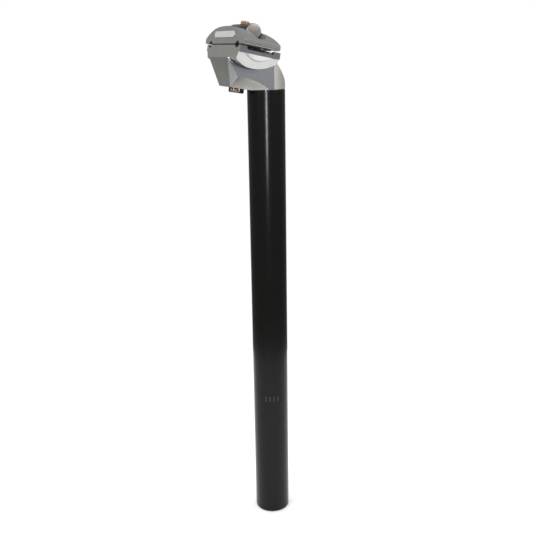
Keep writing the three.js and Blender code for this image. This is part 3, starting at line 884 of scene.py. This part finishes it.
@dataclass
class Head(Piece):
    """The forged head with its toothed cradle, spigot, bolt hole and washer pocket."""

    name: str = "forged_head"
    body: str = "post"
    node: str = "head"
    slot: str = "head"
    finishes: tuple[MetalFinish, ...] = (
        POLISHED_SIDE,
        SATIN_REAR,
        TOOTHED_FACE,
        WARM_FRONT,
        WEDGE_FACET,
        WARM_FACET,
    )
    edge_radius: float = 0.34
    tube_radius: float = 12.7
    seat_gap: float = 0.3
    cradle_radius: float = 22.9
    front_angle: float = 39.8
    rear_angle: float = 49.4
    cradle_land: float = 0.7
    tooth_depth: float = 0.45
    tooth_pitch: float = 3.8
    tooth_clearance: float = 0.02
    tooth_margin: float = 2.5
    tooth_half_width: float = 10.5
    lip_land: float = 1.0
    lip_turn: float = 1.7
    heel_reach: float = 14.5
    heel_rise: float = 3.0
    neck_rise: float = 1.2
    throat_rise: float = 7.4
    throat_set_back: float = 3.0
    side_flare: float = 5.1
    lip_half_width: float = 15.6
    heel_half_width: float = 9.3
    wedge_forward: float = 2.6
    wedge_rise: float = 9.8
    tuck_forward: float = 3.9
    tuck_rise: float = 9.2
    tuck_start_rise: float = 2.2
    tuck_ball_radius: float = 60.0
    facet_likeness: tuple[float, float] = (0.995, 0.95)
    facet_least_side: float = 0.3
    facet_least_fall: float = 0.06
    front_band: float = 4.0
    recess_border: float = 1.5
    recess_depth: float = 0.35
    hole_radius: float = 3.3
    pocket_radius: float = 6.4
    pocket_floor: float = 7.3
    spigot_radius: float = 10.3
    spigot_bore_radius: float = 6.5
    spigot_length: float = 32.0
    spigot_roof: float = 1.0

    def frame_matrix(self) -> Matrix:
        """The head stands on the tube's top."""
        return self.places.on_tube

    @property
    def heel_x(self) -> float:
        """How far behind the tube's axis the heel is, as x in the head's frame."""
        return self.places.pivot_in_head[0] - self.heel_reach

    def rear_lip(self) -> Point:
        """The rear face's top edge, as x and z, just outside the cradle's rear end."""
        x, z = self.places.pivot_in_head
        angle = math.radians(self.rear_angle + self.lip_turn)
        radius = self.cradle_radius + self.lip_land
        return (x - radius * math.sin(angle), z - radius * math.cos(angle))

    def outline(self) -> list[Point]:
        """The head from the side: neck, front curve, cradle, rear face and underside."""
        x, z = self.places.pivot_in_head
        front = math.radians(self.front_angle)
        land_x = x + self.cradle_radius * math.sin(front) + self.cradle_land
        land_z = z - self.cradle_radius * math.cos(front) + self.cradle_land / 2
        underside_end = self.heel_x + (self.heel_rise - self.seat_gap) / math.tan(self.places.lean)
        neck = (self.tube_radius, self.neck_rise)
        pull = (self.tube_radius - self.throat_set_back, self.throat_rise)
        cradle = arc((x, z), self.cradle_radius, self.front_angle - 90, -90 - self.rear_angle, 72)
        rear = [self.rear_lip(), (self.heel_x, self.heel_rise)]
        return [
            (self.tube_radius, self.seat_gap),
            neck,
            *curve(neck, pull, (land_x, land_z), 14),
            *cradle,
            *rear,
            (underside_end, self.seat_gap),
        ]

    def plan(self) -> Solid:
        """The head from above: a half-round front, and sides that open towards the rear."""
        spread = FAR / 4
        rear_half_width = self.tube_radius + spread * math.tan(math.radians(self.side_flare))
        front = arc((0.0, 0.0), self.tube_radius, -90, 90, 40)
        corners = [(-spread, rear_half_width), (-spread, -rear_half_width)]
        return Solid.prism(front + corners, Plane.PLAN, 0.0, self.places.pivot_in_head[1])

    def facets(self, side: float) -> tuple[list[Vector], list[Vector]]:
        """Corners of the flat wedge and the hollow tuck at the head's lower rear.

        Args:
            side: 1 for the +y side, -1 for the -y side.

        Returns:
            Three points on the wedge's plane, and three on the tuck's ball.
        """
        lip_x, lip_z = self.rear_lip()

        def on_side(place: float, rise: float) -> Vector:
            """A point on the flared side."""
            half_width = self.tube_radius - place * math.tan(math.radians(self.side_flare))
            return Vector((place, side * half_width, rise))

        heel = Vector((self.heel_x, side * self.heel_half_width, self.heel_rise))
        lip = Vector((lip_x, side * self.lip_half_width, lip_z))
        wedge = on_side(self.heel_x + self.wedge_forward, self.wedge_rise)
        tuck = on_side(self.heel_x + self.tuck_forward, self.tuck_rise)
        tuck_start = on_side(-self.tube_radius / 2, self.tuck_start_rise)
        return [lip, heel, wedge], [tuck_start, tuck, heel]

    def rear_normal(self) -> Vector:
        """The direction that the rear face looks in."""
        lip_x, lip_z = self.rear_lip()
        down = Vector((self.heel_x - lip_x, 0, self.heel_rise - lip_z))
        return Vector((down.z, 0, -down.x)).normalized()

    def build(self) -> Solid:
        """Cuts the forging from its side outline, then sinks the rear face and bores it."""
        head = Solid.prism(self.outline(), Plane.SIDE, -FAR / 4, FAR / 4).keep(self.plan())
        for side in (-1.0, 1.0):
            wedge, tuck = self.facets(side)
            head.trim(wedge, side)
            head.cut(Solid.ball_through(tuck, self.tuck_ball_radius, Vector((0, side, 0))))
        self.sink_rear_face(head.flattened())
        along_bolt = self.bolt_in_head()
        hole = Solid.rod(self.hole_radius, -FAR, 0.0).moved(along_bolt)
        pocket_start = -self.cradle_radius - self.pocket_floor
        pocket = Solid.rod(self.pocket_radius, -FAR, pocket_start).moved(along_bolt)
        spigot = Solid.rod(self.spigot_radius, -self.spigot_length, self.neck_rise)
        spigot_bore = Solid.rod(self.spigot_bore_radius, -FAR, -self.spigot_roof)
        return head.cut(self.teeth(), hole, pocket).join(spigot).cut(spigot_bore)

    def teeth(self) -> Solid:
        """The cutter for the cradle's teeth, which stop short of the sides."""
        ring = tooth_ring(
            self.places.pivot_in_head,
            self.cradle_radius - self.tooth_clearance,
            self.cradle_radius + self.tooth_depth,
            self.front_angle - 90 - self.tooth_margin,
            self.tooth_margin - 90 - self.rear_angle,
            self.tooth_pitch,
        )
        return Solid.prism(ring, Plane.SIDE, -self.tooth_half_width, self.tooth_half_width)

    def bolt_in_head(self) -> Matrix:
        """The bolt's frame, seen from the head's."""
        x, z = self.places.pivot_in_head
        return Matrix.Translation((x, 0, z)) @ Matrix.Rotation(self.places.lean, 4, "Y")

    def sink_rear_face(self, head: Solid) -> None:
        """Presses a shallow panel into the rear face, inside a thin border."""
        normal = self.rear_normal()
        rear = [face for face in head.body.faces if face.normal.dot(normal) > SAME_FACING]
        rear = [max(rear, key=lambda face: face.calc_area())]
        bmesh.ops.inset_individual(
            head.body, faces=rear, thickness=self.recess_border, depth=-self.recess_depth
        )

    def choose_finish(self, face: bmesh.types.BMFace) -> int:
        """Satin behind, warm in front and underneath, cut metal on the teeth, polished elsewhere."""
        if face.normal.dot(self.rear_normal()) > FACING:
            return 1
        x, z = self.places.pivot_in_head
        middle = face.calc_center_median()
        reach = math.hypot(middle.x - x, middle.z - z)
        near_cradle = abs(reach - self.cradle_radius) < 1.5 * self.tooth_depth
        if near_cradle and abs(face.normal.y) < EDGE_ON and middle.z > self.seat_gap + self.neck_rise:
            return 2
        if middle.x > 0.0 and math.hypot(middle.x, middle.y) > self.tube_radius - self.front_band:
            return 3
        return self.facet_finish(face)

    def facet_finish(self, face: bmesh.types.BMFace) -> int:
        """The finish of a face on the flanks: wedge, tuck or plain side."""
        if abs(face.normal.y) < self.facet_least_side or face.normal.z > -self.facet_least_fall:
            return 0
        side = math.copysign(1.0, face.normal.y)
        for number, corners, likeness in zip((4, 5), self.facets(side), self.facet_likeness):
            normal = (corners[1] - corners[0]).cross(corners[2] - corners[0]).normalized()
            if abs(face.normal.dot(normal)) > likeness:
                return number
        return 0


@dataclass
class RailClamp(Piece):
    """What both halves of the rail clamp share: their frame, rail grooves and bolt slot."""

    rear: float = 12.75
    rail_radius: float = 3.5
    rail_half_spacing: float = 22.0
    groove_centre: float = 0.0
    groove_nearness: float = 0.06
    slot_reach: float = 0.0
    slot_half_width: float = 3.45

    def frame_matrix(self) -> Matrix:
        """The clamp lies in the rails' frame."""
        return self.places.on_rails

    def groove(self) -> Solid:
        """The cutter for the +y rail groove."""
        turned = Matrix.Rotation(math.pi / 2, 4, "Y")
        place = Matrix.Translation((0, self.rail_half_spacing, self.groove_centre))
        return Solid.rod(self.rail_radius, -FAR / 2, FAR / 2).moved(place @ turned)

    def bolt_slot(self) -> Solid:
        """The cutter for the slot that the bolt passes through."""
        return Solid.prism(capsule(self.slot_reach, self.slot_half_width), Plane.PLAN, -FAR, FAR)

    def in_groove(self, middle: Vector) -> bool:
        """Whether the middle of a face lies on a rail groove's surface."""
        reach = math.hypot(abs(middle.y) - self.rail_half_spacing, middle.z - self.groove_centre)
        return abs(reach - self.rail_radius) < self.groove_nearness


@dataclass
class LowerClamp(RailClamp):
    """The lower half of the rail clamp: flat on top, round and toothed underneath."""

    name: str = "toothed_lower_clamp"
    body: str = "cradle_clamp"
    node: str = "lower_clamp"
    slot: str = "lower_clamp"
    finishes: tuple[MetalFinish, ...] = (
        DARK_BAND,
        SATIN_REAR,
        BRIGHT_FLANK,
        TOOTHED_FACE,
        PAINTED_SHADE_GROOVE,
        PAINTED_LIGHT_SCOOP,
    )
    edge_radius: float = 0.5
    top: float = -10.4
    front: float = 15.0
    disc_radius: float = 22.6
    tooth_depth: float = 0.45
    tooth_pitch: float = 3.8
    tooth_clearance: float = 0.02
    tooth_land: float = 0.9
    half_width: float = 27.3
    band: float = 4.0
    band_step: float = 1.1
    flank_set_in: float = 4.7
    groove_centre: float = -8.6
    window_rear: float = 8.0
    window_front: float = 10.4
    window_depth: float = 2.0
    window_corner: float = 1.0
    window_inset: float = 1.0
    scoop_radius: float = 12.8
    scoop_forward: float = 1.2
    scoop_sagitta: float = 4.2
    scoop_depth: float = 1.3
    scoop_fade: float = 4.5
    slot_reach: float = 9.61

    @property
    def band_bottom(self) -> float:
        """The height of the rim band's lower edge."""
        return self.top - self.band

    @property
    def flank_top(self) -> float:
        """Half the width over the flanks, just under the rim band."""
        return self.half_width - self.band_step

    def disc_end(self, place: float) -> float:
        """The angle in degrees of the round underside's point at an x."""
        return math.degrees(math.atan2(-math.sqrt(self.disc_radius**2 - place**2), place))

    def side_outline(self) -> list[Point]:
        """The clamp from the side."""
        start, end = self.disc_end(-self.rear), self.disc_end(self.front)
        underside = arc((0.0, 0.0), self.disc_radius, start, end, 72)
        return [(self.front, self.top), (-self.rear, self.top), *underside]

    def teeth(self) -> Solid:
        """The cutter for the teeth, which leave a plain land along each flank."""
        start, end = self.disc_end(-self.rear), self.disc_end(self.front)
        crest = self.disc_radius + self.tooth_clearance
        root = self.disc_radius - self.tooth_depth
        ring = tooth_ring((0.0, 0.0), crest, root, start, end, self.tooth_pitch)
        inner = [(y - math.copysign(self.tooth_land, y), z) for y, z in self.cross_outline()]
        cutter = Solid.prism(ring, Plane.SIDE, -self.half_width, self.half_width)
        return cutter.keep(Solid.prism(inner, Plane.CROSS, -FAR / 4, FAR / 4))

    def cross_outline(self) -> list[Point]:
        """The clamp from behind."""
        foot = self.flank_top - self.flank_set_in
        half = [
            (self.half_width, self.top),
            (self.half_width, self.band_bottom),
            (self.flank_top, self.band_bottom),
            (foot, -self.disc_radius - 1.0),
        ]
        return half + [(-y, z) for y, z in reversed(half)]

    def window(self) -> Solid:
        """The cutter that opens the +y rail groove to the side."""
        floor = self.top - self.window_depth
        corner = self.window_corner
        rear = arc((corner - self.window_rear, floor + corner), corner, 180, 270, 6)
        front = arc((self.window_front - corner, floor + corner), corner, 270, 360, 6)
        above = self.top + self.window_depth
        outline = [(self.window_front, above), (-self.window_rear, above), *rear, *front]
        inner = self.rail_half_spacing + self.window_inset
        return Solid.prism(outline, Plane.SIDE, inner, self.half_width + 1)

    def scoop(self) -> Solid:
        """The cutter for the half-moon hollow in the +y flank, deeper towards the rear."""
        half_angle = math.degrees(math.acos(1 - self.scoop_sagitta / self.scoop_radius))
        centre = (self.scoop_forward, self.scoop_radius - self.scoop_sagitta)
        moon = arc(centre, self.scoop_radius, -90 - half_angle, -90 + half_angle, 28)
        cutter = Solid.prism(moon, Plane.SIDE, -self.scoop_depth, FAR / 40)
        flank_angle = math.atan2(self.flank_set_in, self.disc_radius + self.band_bottom)
        fade = Matrix.Rotation(math.radians(self.scoop_fade), 4, "Z")
        lean_in = Matrix.Rotation(-flank_angle, 4, "X")
        place = Matrix.Translation((0, self.flank_top, self.band_bottom))
        return cutter.moved(place @ lean_in @ fade)

    def build(self) -> Solid:
        """Cuts the clamp from its two outlines, then grooves, windows, scoops and slot."""
        cross = Solid.prism(self.cross_outline(), Plane.CROSS, -self.rear - 1, self.front + 1)
        clamp = Solid.prism(self.side_outline(), Plane.SIDE, -FAR / 4, FAR / 4).keep(cross)
        for make_cutter in (self.groove, self.window, self.scoop):
            cutter = make_cutter()
            clamp.cut(cutter.mirrored_copy(), cutter)
        return clamp.cut(self.teeth(), self.bolt_slot())

    def choose_finish(self, face: bmesh.types.BMFace) -> int:
        """Satin behind, bright on the flanks, painted light in the scoops, painted shade in the grooves and
        windows, cut teeth, polished elsewhere.
        """
        middle = face.calc_center_median()
        if face.normal.x < -FACING and abs(middle.x + self.rear) < 0.05:
            return 1
        if abs(face.normal.y) > 0.8 and middle.z < self.band_bottom - 0.02:
            # Scoop faces take a lighter copy of the flank metal: painted light in the hollow.
            return 5 if abs(face.normal.x) > math.sin(math.radians(self.scoop_fade)) / 2 else 2
        # Window floors and groove faces take the darker finish: painted shade in these recesses.
        in_window = face.normal.z > FACING and middle.z < self.top - self.window_depth / 2
        if in_window or self.in_groove(middle):
            return 4
        near_disc = math.hypot(middle.x, middle.z) > self.disc_radius - 1.5 * self.tooth_depth
        return 3 if near_disc and abs(face.normal.y) < EDGE_ON and middle.z < self.band_bottom else 0


@dataclass
class UpperClamp(RailClamp):
    """The upper half of the rail clamp: an arch with a channel for the cross nut."""

    name: str = "arched_upper_clamp"
    body: str = "cap_clamp"
    node: str = "upper_clamp"
    slot: str = "upper_clamp"
    finishes: tuple[MetalFinish, ...] = (CAP_METAL, SATIN_REAR, RAISED_BAR, PAINTED_SHADE_GROOVE)
    edge_radius: float = 0.45
    bottom: float = -9.7
    crown: float = 1.2
    front: float = 12.2
    half_width: float = 31.7
    end_height: float = 3.2
    end_round: float = 1.0
    arch_power: float = 2.7
    nose_length: float = 12.5
    nose_lip: float = 1.2
    channel_radius: float = 5.3
    groove_centre: float = -11.5
    tab_low: tuple[float, float, float] = (1.5, 25.8, -11.0)
    tab_high: tuple[float, float, float] = (2.9, 27.0, -8.7)
    slot_reach: float = 6.155
    badge_half_length: float = 16.5
    badge_half_height: float = 1.9
    badge_height: float = -3.9
    badge_relief: float = 0.35
    arch_steps: int = 30

    def arch(self, y: float) -> float:
        """The arch's height at a distance from the middle."""
        fall = self.crown - (self.bottom + self.end_height)
        return self.crown - fall * (abs(y) / self.half_width) ** self.arch_power

    def cross_outline(self) -> list[Point]:
        """The clamp from behind."""
        quarter = math.pi / 2 / self.arch_steps
        spots = [self.half_width * math.sin(i * quarter) for i in range(self.arch_steps, 0, -1)]
        corner = (self.half_width - self.end_round, self.bottom + self.end_round)
        half = [*arc(corner, self.end_round, -90, 0, 5), *[(y, self.arch(y)) for y in spots]]
        return half + [(0.0, self.crown)] + [(-y, z) for y, z in reversed(half)]

    def side_outline(self) -> list[Point]:
        """The clamp from the side: square behind, with a rounded nose."""
        rise = self.crown - self.bottom - self.nose_lip
        start = (self.front - self.nose_length, self.bottom + self.nose_lip)
        round_nose = [
            (start[0] + self.nose_length * a, start[1] + rise * b)
            for a, b in arc((0.0, 0.0), 1.0, 0, 90, 24)
        ]
        return [(-self.rear, self.bottom), (self.front, self.bottom), *round_nose, (-self.rear, self.crown)]

    def build(self) -> Solid:
        """Cuts the clamp from its two outlines and adds the tabs and a plain raised bar."""
        side = Solid.prism(self.side_outline(), Plane.SIDE, -FAR / 4, FAR / 4)
        clamp = Solid.prism(self.cross_outline(), Plane.CROSS, -self.rear - 1, self.front + 1).keep(side)
        tab = Solid.block(self.tab_low, self.tab_high)
        clamp.join(tab.mirrored_copy(), tab)
        channel = Solid.rod(self.channel_radius, -FAR / 2, FAR / 2)
        channel.moved(Matrix.Rotation(math.pi / 2, 4, "X"))
        mouth = Solid.block((-self.channel_radius, -FAR / 2, 0), (self.channel_radius, FAR / 2, FAR / 4))
        groove = self.groove()
        clamp.cut(channel, mouth, groove.mirrored_copy(), groove, self.bolt_slot())
        bar = capsule(self.badge_half_length, self.badge_half_height, (0.0, self.badge_height))
        raised = Solid.prism(bar, Plane.CROSS, -self.rear - self.badge_relief, -self.rear + 1)
        return clamp.join(raised)

    def choose_finish(self, face: bmesh.types.BMFace) -> int:
        """Satin behind, bright on the raised bar, painted shade in the grooves, tumbled elsewhere."""
        middle = face.calc_center_median()
        if face.normal.x < -FACING and middle.x < -self.rear - self.badge_relief / 2:
            return 2
        if face.normal.x < -FACING and middle.x < 0.1 - self.rear:
            return 1
        # Groove faces take the darker finish: painted shade in the grooves.
        return 3 if self.in_groove(middle) else 0


@dataclass
class BoltPiece(Piece):
    """A piece that is placed by the bolt."""

    def frame_matrix(self) -> Matrix:
        """The piece stands in the bolt's frame."""
        return self.places.on_bolt


@dataclass
class CrossNut(BoltPiece):
    """The round nut that lies across the upper clamp."""

    name: str = "round_cross_nut"
    body: str = "cross_nut"
    node: str = "barrel_nut"
    slot: str = "nut"
    finishes: tuple[MetalFinish, ...] = (DARK_NICKEL, NUT_END)
    edge_radius: float = 0.15
    radius: float = 5.0
    length: float = 31.0
    end_round: float = 0.6
    thread_radius: float = 3.2

    def build(self) -> Solid:
        """Turns the nut with rounded ends, and bores it for the bolt."""
        half = self.length / 2
        inner = self.radius - self.end_round
        low = [(0.0, -half)]
        low += arc((inner, self.end_round - half), self.end_round, -90, 0, 5)
        high = [(radius, -height) for radius, height in reversed(low)]
        nut = Solid.turned([*low, *high]).moved(Matrix.Rotation(math.pi / 2, 4, "X"))
        return nut.cut(Solid.rod(self.thread_radius, -FAR / 2, FAR / 2, 48))

    def choose_finish(self, face: bmesh.types.BMFace) -> int:
        """The turned ends are lighter than the barrel."""
        return 1 if abs(face.calc_center_median().y) > self.length / 2 - self.end_round else 0


@dataclass
class ClampBolt(BoltPiece):
    """The socket-head bolt, its tip threaded and its head knurled."""

    name: str = "socket_head_bolt"
    body: str = "bolt"
    node: str = "clamp_bolt"
    slot: str = "bolt"
    finishes: tuple[MetalFinish, ...] = (YELLOW_ZINC, PAINTED_SHADE_BOLT_HEAD)
    edge_radius: float = 0.12
    edge_segments: int = 2
    edge_angle: float = 50.0
    radius: float = 3.0
    head_radius: float = 5.0
    head_start: float = -32.4
    head_height: float = 6.0
    head_round: float = 0.7
    tip: float = 6.6
    tip_chamfer: float = 0.6
    thread_start: float = -14.0
    thread_pitch: float = 1.0
    thread_depth: float = 0.42
    rings_per_pitch: int = 6
    knurl_depth: float = 0.18
    knurl_land: float = 1.0
    hex_across_flats: float = 5.0
    hex_depth: float = 3.0

    @property
    def head_end(self) -> float:
        """The height of the head's outer face."""
        return self.head_start - self.head_height

    def profile(self) -> list[Point]:
        """Half of the bolt's section, from the head's outer face to the tip."""
        shoulder = self.tip - self.tip_chamfer
        rings = round((shoulder - self.thread_start) / self.thread_pitch * self.rings_per_pitch)
        step = (shoulder - self.thread_start) / rings
        thread = [(self.radius, self.thread_start + step * i) for i in range(rings + 1)]
        corner = (self.head_radius - self.head_round, self.head_end + self.head_round)
        rounded = arc(corner, self.head_round, -90, 0, 4)
        knurl_top = self.head_start - self.knurl_land
        knurl = [(self.head_radius, knurl_top), (self.head_radius, self.head_start)]
        neck = [(self.radius, self.head_start)]
        tip = [(self.radius - self.tip_chamfer, self.tip), (0.0, self.tip)]
        return [(0.0, self.head_end), *rounded, *knurl, *neck, *thread, *tip]

    def cut_thread(self, bolt: Solid) -> None:
        """Draws the shank's surface in along a helix."""
        shoulder = self.tip - self.tip_chamfer
        for vert in bolt.body.verts:
            reach = math.hypot(vert.co.x, vert.co.y)
            if not self.thread_start < vert.co.z <= shoulder or reach < self.radius - 0.1:
                continue
            turn = math.atan2(vert.co.y, vert.co.x) / math.tau
            phase = (vert.co.z / self.thread_pitch - turn) % 1.0
            depth = self.thread_depth * (1 - abs(2 * phase - 1))
            run_in = min(1.0, (vert.co.z - self.thread_start) / self.thread_pitch)
            scale = (reach - depth * run_in) / reach
            vert.co.x *= scale
            vert.co.y *= scale

    def knurl_head(self, bolt: Solid) -> None:
        """Presses straight grooves into the head's side, one at every other corner."""
        low = self.head_end + self.head_round - 0.01
        high = self.head_start - self.knurl_land + 0.01
        for vert in bolt.body.verts:
            reach = math.hypot(vert.co.x, vert.co.y)
            if low < vert.co.z < high and reach > self.head_radius - 0.01:
                number = round(math.atan2(vert.co.y, vert.co.x) / math.tau * ROUND_STEPS)
                scale = (reach - self.knurl_depth * (number % 2)) / reach
                vert.co.x *= scale
                vert.co.y *= scale

    def build(self) -> Solid:
        """Turns the bolt, cuts its thread, knurls its head and sinks the hexagon."""
        bolt = Solid.turned(self.profile())
        self.cut_thread(bolt)
        self.knurl_head(bolt)
        hex_radius = self.hex_across_flats / 2 / math.cos(math.pi / 6)
        key = Solid.rod(hex_radius, self.head_end - 1, self.head_end + self.hex_depth, 6)
        return bolt.cut(key)

    def choose_finish(self, face: bmesh.types.BMFace) -> int:
        """The head is darker than the shank: painted shade on the head."""
        return 1 if face.calc_center_median().z < self.head_start + 0.1 else 0


@dataclass
class Washer(BoltPiece):
    """The flat washer in the head's pocket."""

    name: str = "pocket_washer"
    body: str = "post"
    node: str = "bolt_washer"
    slot: str = "washer"
    finishes: tuple[MetalFinish, ...] = (ZINC_WASHER,)
    edge_radius: float = 0.15
    bore_radius: float = 3.3
    radius: float = 6.0
    start: float = -30.5
    thickness: float = 1.6

    def build(self) -> Solid:
        """Spins the washer's section."""
        low = self.start - self.thickness
        corners = [
            (self.bore_radius, low),
            (self.radius, low),
            (self.radius, self.start),
            (self.bore_radius, self.start),
        ]
        return Solid.turned(corners, closed=True)


# Studio


@dataclass(frozen=True)
class SoftBox:
    """A rectangular studio light that looks at the post."""

    name: str
    place: tuple[float, float, float]
    target: tuple[float, float, float]
    size: tuple[float, float]
    power: float
    seen_in_metal: bool = True

    def hang(self) -> None:
        """Adds the light."""
        data = bpy.data.lights.new(self.name, "AREA")
        data.shape = "RECTANGLE"
        data.size, data.size_y = self.size
        data.energy = self.power
        light = put_in_scene(self.name, data)
        light.location = self.place
        light.visible_glossy = self.seen_in_metal
        towards = Vector(self.target) - Vector(self.place)
        light.rotation_euler = towards.to_track_quat("-Z", "Y").to_euler()


@dataclass
class Studio:
    """A pale floor, soft lights, a plain surround and the camera."""

    floor_radius: float = 0.30
    floor_drop: float = 0.0002
    floor_colour: tuple[float, float, float] = (0.86, 0.86, 0.85)
    surround_low: float = 0.22
    surround_level: float = 0.36
    surround_high: float = 0.70
    backdrop: float = 1.0
    lens: float = 49.7599
    camera_distance: float = 0.5030614
    camera_height: float = 0.3485005
    camera_azimuth: float = 25.5
    camera_pitch: float = 17.00164501
    camera_pan: float = -0.19057298
    camera_roll: float = -0.97236589
    lights: tuple[SoftBox, ...] = field(
        default=(
            SoftBox("key_softbox", (0.75, -1.1, 0.95), (0.0, 0.0, 0.30), (0.7, 0.7), 6.0),
            SoftBox("window_strip", (-0.50, -1.09, 0.44), (0.0, 0.0, 0.30), (0.09, 0.42), 8.5),
            SoftBox("edge_strip", (-0.91, -0.42, 0.64), (0.0, 0.0, 0.345), (0.22, 0.20), 3.0),
            SoftBox("top_softbox", (-0.1, 0.1, 1.5), (0.0, 0.0, 0.0), (1.2, 1.2), 16.0, False),
        )
    )

    def set_up(self) -> None:
        """Makes the whole studio."""
        self.lay_floor()
        self.surround()
        for light in self.lights:
            light.hang()
        self.place_camera()
        bpy.context.scene.view_settings.view_transform = "Standard"

    def lay_floor(self) -> None:
        """A round pale floor under the post."""
        body = bmesh.new()
        bmesh.ops.create_circle(body, cap_ends=True, segments=128, radius=self.floor_radius)
        mesh = bpy.data.meshes.new("studio_floor")
        body.to_mesh(mesh)
        body.free()
        floor = put_in_scene("studio_floor", mesh)
        floor.location.z = -self.floor_drop
        paper = bpy.data.materials.new("floor_paper")
        paper.use_nodes = True
        graph = Graph(paper.node_tree)
        shader = paper.node_tree.nodes["Principled BSDF"]
        shader.inputs["Roughness"].default_value = 0.8
        place = graph.add("ShaderNodeTexCoord").outputs["Object"]
        noise = graph.noise(place, 14.0)
        darker = tuple(channel * 0.985 for channel in self.floor_colour)
        colour = graph.mix(noise, (*self.floor_colour, 1), (*darker, 1))
        paper.node_tree.links.new(colour, shader.inputs["Base Color"])
        mesh.materials.append(paper)

    def surround(self) -> None:
        """White to look at; to reflections, grey at eye level and brighter overhead."""
        world = bpy.data.worlds.new("studio_surround")
        bpy.context.scene.world = world
        world.use_nodes = True
        graph = Graph(world.node_tree)
        output = world.node_tree.nodes["World Output"]
        seen = world.node_tree.nodes["Background"]
        seen.inputs["Color"].default_value = (1, 1, 1, 1)
        seen.inputs["Strength"].default_value = self.backdrop
        direction = graph.add("ShaderNodeTexCoord").outputs["Generated"]
        height = graph.add("ShaderNodeSeparateXYZ", {0: direction}).outputs[2]
        below = graph.spread(height, -0.25, 0.0, self.surround_low, self.surround_level)
        above = graph.spread(height, 0.0, 0.75, 0.0, self.surround_high - self.surround_level)
        strength = graph.math("ADD", below, above)
        lit = graph.add("ShaderNodeBackground", {"Color": (0.97, 0.98, 1.0, 1), "Strength": strength})
        to_eye = graph.add("ShaderNodeLightPath").outputs["Is Camera Ray"]
        mixed = graph.add("ShaderNodeMixShader", {0: to_eye, 1: lit.outputs[0], 2: seen.outputs[0]})
        world.node_tree.links.new(mixed.outputs[0], output.inputs["Surface"])

    def place_camera(self) -> None:
        """Looks down at the post from behind its right side."""
        pitch, pan = math.radians(self.camera_pitch), math.radians(self.camera_pan)
        roll, azimuth = math.radians(self.camera_roll), math.radians(self.camera_azimuth)
        look = Vector(
            (math.sin(pan) * math.cos(pitch), math.cos(pan) * math.cos(pitch), -math.sin(pitch))
        )
        right = look.cross(Vector((0, 0, 1))).normalized()
        up = right.cross(look)
        rolled_right = math.cos(roll) * right + math.sin(roll) * up
        rolled_up = math.cos(roll) * up - math.sin(roll) * right
        around = Matrix.Rotation(-azimuth, 3, "Z")
        columns = (around @ rolled_right, around @ rolled_up, around @ -look)
        data = bpy.data.cameras.new("studio_camera")
        data.lens = self.lens
        data.sensor_width = 36.0
        data.clip_start = 0.01
        camera = put_in_scene("studio_camera", data)
        camera.matrix_world = Matrix(columns).transposed().to_4x4()
        camera.location = around @ Vector((0, -self.camera_distance, self.camera_height))
        bpy.context.scene.camera = camera


def main() -> None:
    """Builds every piece in order, then the studio."""
    logging.basicConfig(level=logging.INFO, format="%(name)s: %(message)s")
    places = Places.from_frame(frame)
    for kind in (PostTube, Head, LowerClamp, UpperClamp, CrossNut, ClampBolt, Washer):
        kind(places=places).make()
    Studio().set_up()


if __name__ == "__main__":
    main()
